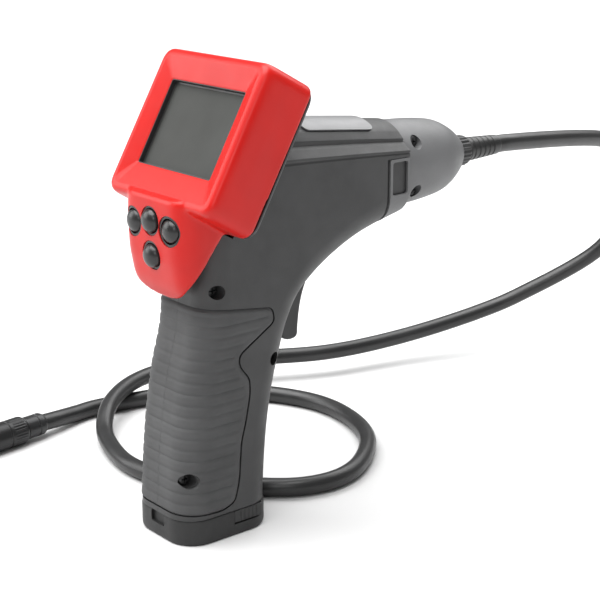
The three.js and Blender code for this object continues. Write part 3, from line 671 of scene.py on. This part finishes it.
def window_well():
    """The window's opening and the slope down to it from the rim."""
    w, h = WINDOW_HALF_W, WINDOW_HALF_H
    return loft([
        ring(w, -h, h, 1, -6),
        ring(w, -h, h, 1, SLOPE_FOOT - 0.3),
        ring(w + 0.5, -h - 0.5, h + 0.5, 1.2, SLOPE_FOOT + 0.1),
        frame_ring(*RIM_INNER[:5], FRAME_RIM + 0.05),
        frame_ring(*RIM_INNER[:5], FRAME_RIM + 2),
    ])


def plan_rings(table, rear, radius):
    """Rings of a block seen from above, from half width, height and the X of the front."""
    rings = []
    for half, z, front in table:
        centre = (front + rear) / 2
        rings.append([(x + centre, y, z) for x, y, _ in ring(rear - centre, -half, half, radius, z)])
    return loft(rings)


def tongue_block():
    """The keypad tongue's front and sides, before it is cut to its outlines."""
    table = [(23, 108, -15.8), (23.8, 117, -21.4), (24, 126, -23.6), (24, 134, -24.8), (24, 150, -25),
             (24, 158, -24.4)]
    return plan_rings(curve_through(table, 3), 12, 10.5)


def tongue_hollow():
    return plan_rings([(16, 119, -19.5), (19, 126, -21.2), (20.6, 134, -22.4), (20.6, 160, -22.6)], 20, 6)


def bezier(p0, p1, p2, p3, steps=12):
    line = []
    for i in range(steps + 1):
        t = i / steps
        s = 1 - t
        line.append(tuple(s ** 3 * a + 3 * s * s * t * b + 3 * s * t * t * c + t ** 3 * d
                          for a, b, c, d in zip(p0, p1, p2, p3)))
    return line


def tongue():
    """The keypad tongue, cut to its outlines from the front and the side and softened."""
    left = bezier((-25, 136), (-25, 120), (-17, 111.4), (0, 111.4))
    right = [(-y, z) for y, z in reversed(left[:-1])]
    outline = [(-25, 170), *left, *right, (25, 170)]
    front = loft([[(x, y, z) for y, z in outline] for x in (-40, 20)])
    rear_edge = [(-14, 107), (-19.4, 117.5), (-18, 121), (-14, 127.6), (-9, 134), (-4, 140.4), (6, 152)]
    side = rounded([(-40, 100), *rear_edge, (-40, 168)], 4)
    return melted(common(tongue_block(), front, prism(side, -30, 30)), MELT_VOXEL, 20)


def key_recess(y, z, x):
    """A hole for a key with a dished mouth."""
    mouth_r = KEY_HOLE_R + 0.4
    profile = [(0, -4), (mouth_r, -4), (mouth_r, -0.3), (KEY_HOLE_R, 0.3), (KEY_HOLE_R, 14), (0, 14)]
    return moved(lathe(profile), place(x, y, z))


def make_display():
    """The red frame with its tongue. Both are melted together, so that one runs into the other."""
    shape = join(frame_outside(), moved(tongue(), DISPLAY.inverted()))
    shape = moved(melted(shape, MELT_VOXEL, 8), DISPLAY)
    neck = common(body_layer(-GAP - 0.1), block((-30, 60), (-40, 40), (90, 160)))
    room = common(block((-21.4, 20), (-18.6, 18.6), (120, 153)), tongue_hollow())
    shape = cut(shape, neck, room, moved(frame_inside(), DISPLAY), moved(window_well(), DISPLAY))
    for y, z, x in KEYS.values():
        shape = cut(shape, key_recess(y, z, x))
    stand_in("display_bezel", shape)
    make_key_hole_shade_collars()
    make_window_shade_lining()
    make_rear_cover()


def make_key_hole_shade_collars():
    """Black collars of key rubber that line the holes around the keys: painted shade in the holes."""
    outer, inner = KEY_HOLE_R + 0.35, KEY_R + 0.35
    section = [(inner, -4), (outer, -4), (outer, 4), (inner, 4)]
    shade_collars = [moved(lathe(section, loop=True), place(x, y, z)) for y, z, x in KEYS.values()]
    shape = common(join(*shade_collars), moved(tongue_block(), place(0.5, 0, 0)))
    piece("key_hole_shade_collars", shape, KEY, (), "tool")


def make_window_shade_lining():
    """A black lining over the wall inside the window and a black border on the pane: painted shade in the
    window's recess.
    """
    w, h = WINDOW_HALF_W - 0.05, WINDOW_HALF_H - 0.05
    outer = [(w, -h, h, 0.9, WINDOW_TOP + 0.05), (w, -h, h, 0.9, SLOPE_FOOT - 0.35)]
    inner = [(w - 0.3, 0.3 - h, h - 0.3, 0.8, SLOPE_FOOT - 0.35),
             (w - 0.45, 0.45 - h, h - 0.45, 0.8, -0.9), (w - 1.1, 1.1 - h, h - 1.1, 0.5, -1.05),
             (w - 1.1, 1.1 - h, h - 1.1, 0.5, WINDOW_TOP + 0.05)]
    mesh = loft([ring(*values) for values in outer + inner], loop=True)
    piece("window_shade_lining", moved(mesh, DISPLAY), BLACK, (), "tool")


def make_rear_cover():
    """The dark lid behind the display, with a plug that enters the frame."""
    edge = -COVER_BACK
    table = [(28, -33.4, 22, 7, edge), (31, -35, 25, 8, edge + 0.2), (35.6, -35.6, 31, 7.6, edge + 1.2),
             (37.6, -35.8, 33.2, 7.2, edge + 2.2), (38.2, -35.8, 33.8, 7, edge + 3.2)]
    rim = loft([ring(*values) for values in curve_through(table, 3)]
               + [ring(38.2, -35.8, 33.8, 7, -FRAME_BACK - GAP)])
    plug = loft([ring(35.4, -32.8, 31, 4.8, level - FRAME_BACK) for level in (-1, 4)])
    hollow = loft([ring(33, -30.4, 28.6, 4, level - FRAME_BACK) for level in (-0.6, 6)])
    stand_in("display_rear_cover", moved(cut(join(rim, plug), hollow), DISPLAY))


def make_keys():
    """Domed rubber keys with a skirt behind the frame and a stem down to the board."""
    turns = [math.pi / 2 * i / 10 for i in range(11)]
    dome = [(KEY_R * math.sin(a), 0.6 - 3.6 * math.cos(a)) for a in turns]
    skirt = [(KEY_R, 1.5), (KEY_HOLE_R - 0.3, 1.7), (KEY_HOLE_R - 0.3, 2.6), (0, 2.6)]
    for node, (y, z, x) in KEYS.items():
        cap = moved(lathe([*dome, *skirt]), place(x, y, z))
        stem_r = KEY_R - 1.2
        stem = lathe([(0, x + 1.6), (stem_r, x + 1.6), (stem_r, KEY_STEM_X), (0, KEY_STEM_X)])
        stand_in(node, join(cap, moved(stem, place(0, y, z))))


# ---------- trigger ----------
def make_trigger():
    rear_tip = bezier((40.5, 86), (42, 81.6), (44.6, 80), (48, 80), 6)
    front_tip = bezier((48, 80), (52.2, 80), (52.2, 82), (52.2, 85), 6)
    front = bezier((52.2, 85), (52.8, 94), (54.4, 101), (57, 106), 8)
    outline = [(38, 123), (37, 108), *rear_tip, *front_tip[1:], *front[1:], (57, 109.5), (46, 115),
               (44.5, 123)]
    shape = prism(outline, -TRIGGER_HALF, TRIGGER_HALF, 1.6, 5)
    stand_in("trigger", cut(shape, bar(*TRIGGER_PIVOT, PIN_R + GAP, -10, 10)))


# ---------- screws ----------
def make_screws():
    """Screws with a domed head and a cross recess."""
    head = [(0, 0.2), (1.7, 0.2), (2.4, 0.35), (SCREW_HEAD_R, 0.7), (SCREW_HEAD_R, 2)]
    profile = [*head, (SCREW_R, 2.1), (SCREW_R, 17.5), (0, 18.5)]
    for node, (x, z, depth) in {**HOUSING_SCREWS, **NOSE_SCREWS}.items():
        shape = lathe(profile, 32)
        for half_y, half_z in ((1.6, 0.35), (0.35, 1.6)):
            shape = cut(shape, block((-1, 1.4), (-half_y, half_y), (-half_z, half_z)))
        along_y = place(x, -HALF_WIDTH + depth, z) @ Matrix.Rotation(math.pi / 2, 4, "Z")
        stand_in(node, moved(shape, along_y))


# ---------- nose ----------
NOSE_OUTSIDE = [(20.9, 113), (20.3, 125), (18.8, 138), (16.6, 145), (13, 151.5), (9.6, 155.9)]
NOSE_WALL_INSIDE = [(18.2, 113), (17.6, 125), (16, 137), (13.4, 144), (8.8, 150)]


def nose():
    """The nose's hollow shell of revolution with its screw posts."""
    outer = [(20.2, NOSE_X + GAP), (20.7, NOSE_X + GAP + 0.2), (20.9, NOSE_X + GAP + 0.8),
             *curve_through(NOSE_OUTSIDE, 6), (9.2, NOSE_TIP_X - 0.1), (8.8, NOSE_TIP_X)]
    inner = [(18.2, NOSE_X + GAP), *curve_through(NOSE_WALL_INSIDE, 4)]
    solid = moved(lathe([(0, NOSE_X + GAP), *outer, (0, NOSE_TIP_X)], 96), AT_NOSE)
    shape = moved(lathe(outer + inner[::-1], 96, loop=True), AT_NOSE)
    for x, z, depth in NOSE_SCREWS.values():
        shape = join(shape, common(bar(x, z, BOSS_R, -18, 18), solid.copy()))
        shape = cut(shape, screw_hole(x, z, depth))
    return shape


def nose_sleeve():
    """The nose's skirt over the front of the barrel, open at a dark recess on each side."""
    room = block(SLEEVE_X, (-60, 60), (100, SLEEVE_TOP))
    shape = common(skin(-0.2, 1), room)
    rear, front, top = 96.6, 106.2, SLEEVE_TOP - 1.4
    recess = rounded([(rear, 144), (front, 144), (front, top), (rear, top)], 1.4)
    for side in (-1, 1):
        shape = cut(shape, prism(recess, *sorted((side * 15, side * 30))))
    return shape


def make_nose():
    shell, sleeve = nose(), nose_sleeve()
    whole = join(shell, sleeve)
    for node, side in (("right_nose", -1), ("left_nose", 1)):
        stand_in(node, common(whole.copy(), half_space(side)))


# ---------- cable end ----------
def fluted(profile, flutes, depth, sides_per_flute=6):
    """A turned ring, as a closed loop of (radius, x, share), its radius fluted by depth times share."""
    count = flutes * sides_per_flute
    rings = []
    for r, x, share in profile:
        points = []
        for i in range(count):
            a = 2 * math.pi * i / count
            radius = r - depth * share * (0.5 - 0.5 * math.cos(flutes * a)) ** 2
            points.append((x, radius * math.cos(a), radius * math.sin(a)))
        rings.append(points)
    return loft(rings, loop=True)


def boot_profile():
    """The strain relief: a tapering sleeve with five grooves around it."""
    start = 165.6
    profile = [(0, start), (5.7, start), (6.2, start + 0.5)]
    for i in range(5):
        x = start + 2.2 + i * 3.6
        r = 6.2 - 1.2 * (x - start) / (BOOT_END_X - start)
        profile += [(r, x), (r - 0.5, x + 0.35), (r - 0.55, x + 0.9), (r - 0.1, x + 1.25)]
    return [*profile, (5, BOOT_END_X - 0.4), (4.7, BOOT_END_X + 0.2), (0, BOOT_END_X + 0.2)]


def make_cable_end():
    plug = [(0, 125), (5.6, 125), (6.1, 125.6), (6.1, 156.7), (5.8, 157), (5, 158), (5, 166), (0, 166)]
    stand_in("cable_plug", moved(lathe(plug), AT_NOSE))
    nut = [(7, 156.9, 0), (7.6, 157.2, 0), (7.8, 157.8, 1), (7.8, 163, 1), (7.5, 163.7, 0),
           (6.8, 164.4, 0), (5.4, 164.4, 0), (5.4, 158.8, 0), (6.5, 157.8, 0), (6.5, 156.9, 0)]
    stand_in("coupling_nut", moved(fluted(nut, 22, 0.5), AT_NOSE))
    stand_in("strain_relief", moved(lathe(boot_profile()), AT_NOSE))


# ---------- camera head ----------
def make_head():
    collar = [(0, -0.4), (4.9, -0.4), (5.4, 0.3), (6, 1.6), (6, 4.2), (5.6, 4.5), (5.6, 5.2), (6, 5.5),
              (6, 11.7), (5.7, COLLAR_LENGTH), (0, COLLAR_LENGTH)]
    stand_in("head_collar", moved(lathe(collar), AT_HEAD))
    rear, front = COLLAR_LENGTH + GAP, COLLAR_LENGTH + HEAD_LENGTH
    tube = [(5.6, rear, 0), (6.6, rear + 0.5, 0), (7.2, rear + 1.2, 0), (HEAD_R, rear + 2, 0),
            (HEAD_R, rear + 2.4, 1), (HEAD_R, rear + 9, 1), (HEAD_R, rear + 9.4, 0),
            (HEAD_R, rear + 11, 0), (7, rear + 11.3, 0), (7, rear + 12.1, 0), (HEAD_R, rear + 12.4, 0),
            (HEAD_R, front - 1, 0), (7.1, front - 0.3, 0), (6.7, front, 0), (HEAD_BORE, front, 0),
            (HEAD_BORE, COLLAR_LENGTH + 4, 0), (4.8, rear, 0)]
    stand_in("camera_head", moved(fluted(tube, 30, 0.35, 4), AT_HEAD))


# ---------- battery cover, latches and label ----------
def make_battery_cover():
    """The handle's foot. The latches sit in the slot across it, and its rear has a finger notch."""
    base = [(24.1, 20.7, 12.4, 0), (24.7, 21.3, 13, 0.3), (25.1, 21.7, 13.3, 1), (25.3, 21.9, 13.4, 2.4),
            (25.3, 21.9, 13.4, 6)]
    rings = [ring(x, -y, y, r, z, 12) for x, y, r, z in curve_through(base, 4)]
    top = FOOT_TOP - GAP
    rings += [ring(25.3, -21.9, 21.9, 13.4, top - 0.7, 12), ring(24.9, -21.5, 21.5, 13, top, 12)]
    hollow = loft([ring(21.6, -18.4, 18.4, 11, z, 12) for z in (3, FOOT_TOP + 1)])
    shape = cut(loft(rings), hollow, block((1.6, 18.4), (-30, 30), (5.4, 20)))
    notch = loft([[(x, y, z) for y, z in rounded([(-5, 6.4), (5, 6.4), (5, 14), (-5, 14)], 1.2)]
                  for x in (-30, -23.9)])
    # The cover's darker plastic is painted shade near the floor.
    stand_in("battery_cover", cut(shape, notch), SHADED_FOOT_PLASTIC)


def make_latches():
    """Two catches with ribbed pads and hooks."""
    upright = Matrix.Rotation(math.pi / 2, 4, "X")
    for node, side in (("right_latch", -1), ("left_latch", 1)):
        outline = rounded([(2, 5.8), (18, 5.8), (18, FOOT_TOP - 0.4), (2, FOOT_TOP - 0.4)], 1)
        pad = prism(outline, *sorted((side * 18.9, side * 21.5)), 0.5)
        for i in range(5):
            groove = moved(bar(0, 0, 0.45, -4, 4, 16), place(5.5 + i * 2.25, side * 21.6, 9) @ upright)
            pad = cut(pad, groove)
        hook = block((6, 14), sorted((side * 16.9, side * 19.2)), (6.4, 9.4))
        stand_in(node, join(pad, hook))


def make_label():
    """A plain label bent over the barrel's top, its corners rounded."""
    (x0, z0), (x1, z1) = BARREL_TOPS[1], BARREL_TOPS[2]
    start, end = LABEL_X
    corner = 3

    def section(x, trim):
        top = z0 + (x - x0) * (z1 - z0) / (x1 - x0)
        reach = LABEL_REACH - math.degrees(trim / BARREL_R)
        over, under = arc_points(GAP + LABEL_THICKNESS, reach), arc_points(GAP, reach)
        line = [*reversed(over), *[(-y, z) for y, z in over[1:]]]
        line += [*[(-y, z) for y, z in reversed(under[1:])], *under]
        return [(x, y, top + z) for y, z in line]

    turns = [math.pi / 2 * i / 6 for i in range(7)]
    trims = [(corner * (1 - math.sin(a)), corner * (1 - math.cos(a))) for a in turns]
    rings = [section(start + along, trim) for trim, along in trims]
    rings += [section(end - along, trim) for trim, along in reversed(trims)]
    stand_in("top_label", loft(rings))


# ---------- cable ----------
# The route and the thickness are the CAD's.
CABLE_ROUTE = [
    (188.3, 0, 154.4), (196, 0, 154.3), (283, 9, 145), (306, 14, 137.5), (326, 21.5, 124),
    (340, 30, 106), (346, 39.5, 85), (342.4, 51, 64), (303, 80, 35), (279, 91, 26),
    (228, 107, 16.4), (178, 119, 13.8), (130, 142, 14), (100, 151.5, 14.1), (74, 151.8, 14.1),
    (51.3, 142.7, 14.1), (30, 126.8, 12), (17, 110, 6.4), (6.8, 80.4, 4.6), (5.2, 62, 4.6),
    (10, 42, 4.6), (31.5, 14.5, 4.6), (42, 2, 4.6), (54, -6.6, 4.6), (69, -10.4, 4.6),
    (86, -7.4, 4.6), (108, 6.6, 4.6), (124, 25, 4.6), (134, 52, 4.6), (134.6, 76, 4.6),
    (125.6, 99.6, 4.6), (110, 119, 4.6), (90, 134, 4.6), (68, 142.6, 4.6), (35, 148.4, 4.6),
    (23.5, 147.4, 4.7), (5, 141.8, 6.9), (-2.55, 140.55, 7.4),
]
CABLE_R = 4.5


def smooth_route(points, per_span=10):
    """Points along the centripetal Catmull-Rom curve through the route."""
    route = [Vector(p) for p in points]
    route = [2 * route[0] - route[1], *route, 2 * route[-1] - route[-2]]
    knots = [0.0]
    for a, b in zip(route, route[1:]):
        knots.append(knots[-1] + math.sqrt((b - a).length))
    line = []
    for k in range(1, len(route) - 2):
        t0, t1, t2, t3 = knots[k - 1 : k + 3]
        p0, p1, p2, p3 = route[k - 1 : k + 3]
        for i in range(per_span):
            t = t1 + (t2 - t1) * i / per_span
            a1 = p0.lerp(p1, (t - t0) / (t1 - t0))
            a2 = p1.lerp(p2, (t - t1) / (t2 - t1))
            a3 = p2.lerp(p3, (t - t2) / (t3 - t2))
            b1 = a1.lerp(a2, (t - t0) / (t2 - t0))
            b2 = a2.lerp(a3, (t - t1) / (t3 - t1))
            line.append(b1.lerp(b2, (t - t1) / (t2 - t1)))
    return [*line, route[-2]]


def make_cable():
    """A round cord along the route. It leaves the strain relief at exit."""
    data = bpy.data.curves.new("cable", "CURVE")
    data.dimensions = "3D"
    data.bevel_depth = CABLE_R * MM
    data.bevel_resolution = 8
    data.use_fill_caps = True
    line = smooth_route(CABLE_ROUTE)
    spline = data.splines.new("POLY")
    spline.points.add(len(line) - 1)
    for point, centre in zip(spline.points, line):
        point.co = (*centre * MM, 1)
    spline.use_smooth = True
    data.materials.append(SHEATH)
    cable = bpy.data.objects.new("cable", data)
    bpy.context.scene.collection.objects.link(cable)
    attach(cable, "tool")
    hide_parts("camera_cable")


for make in (make_housing, make_rubber, make_display, make_keys, make_trigger, make_screws, make_nose,
             make_cable_end, make_head, make_battery_cover, make_latches, make_label, make_cable):
    make()


# ---------- floor and light ----------
def make_floor():
    nodes = Nodes("floor", Roughness=0.7)
    nodes.link(
        nodes.ramp(nodes.noise(400), (0.6, 0.6, 0.6), (0.62, 0.62, 0.62)),
        nodes.shader.inputs["Base Color"],
    )
    data = bpy.data.meshes.new("floor")
    half = 30  # metres
    corners = [(-half, -half, 0), (half, -half, 0), (half, half, 0), (-half, half, 0)]
    data.from_pydata(corners, [], [(0, 1, 2, 3)])
    data.materials.append(nodes.material)
    floor = bpy.data.objects.new("floor", data)
    bpy.context.scene.collection.objects.link(floor)


def add_light(name, kind, source, aim, power):
    data = bpy.data.lights.new(name, kind)
    data.energy = power
    light = bpy.data.objects.new(name, data)
    light.location = source
    light.rotation_euler = (Vector(aim) - Vector(source)).to_track_quat("-Z", "Y").to_euler()
    bpy.context.scene.collection.objects.link(light)
    return data


def make_light():
    world = bpy.data.worlds.new("studio")
    world.use_nodes = True
    world.node_tree.nodes["Background"].inputs["Color"].default_value = (1, 1, 1, 1)
    world.node_tree.nodes["Background"].inputs["Strength"].default_value = 0.3
    bpy.context.scene.world = world
    sun = add_light("top_light", "SUN", (-0.25, 0.1, 1), (0, 0, 0), 5.2)
    sun.angle = math.radians(60)
    target = (0.03, 0, 0.12)
    for name, source, side, power in (
        ("left_soft_box", (-0.95, 1.15, 0.75), 1.1, 14),
        ("rear_soft_box", (1.1, 0.3, 1.3), 1.2, 16),
        ("front_soft_box", (-0.95, -1.05, 0.95), 0.5, 3.5),
    ):
        add_light(name, "AREA", source, target, power).size = side


make_floor()
make_light()
bpy.context.scene.view_settings.view_transform = "Standard"
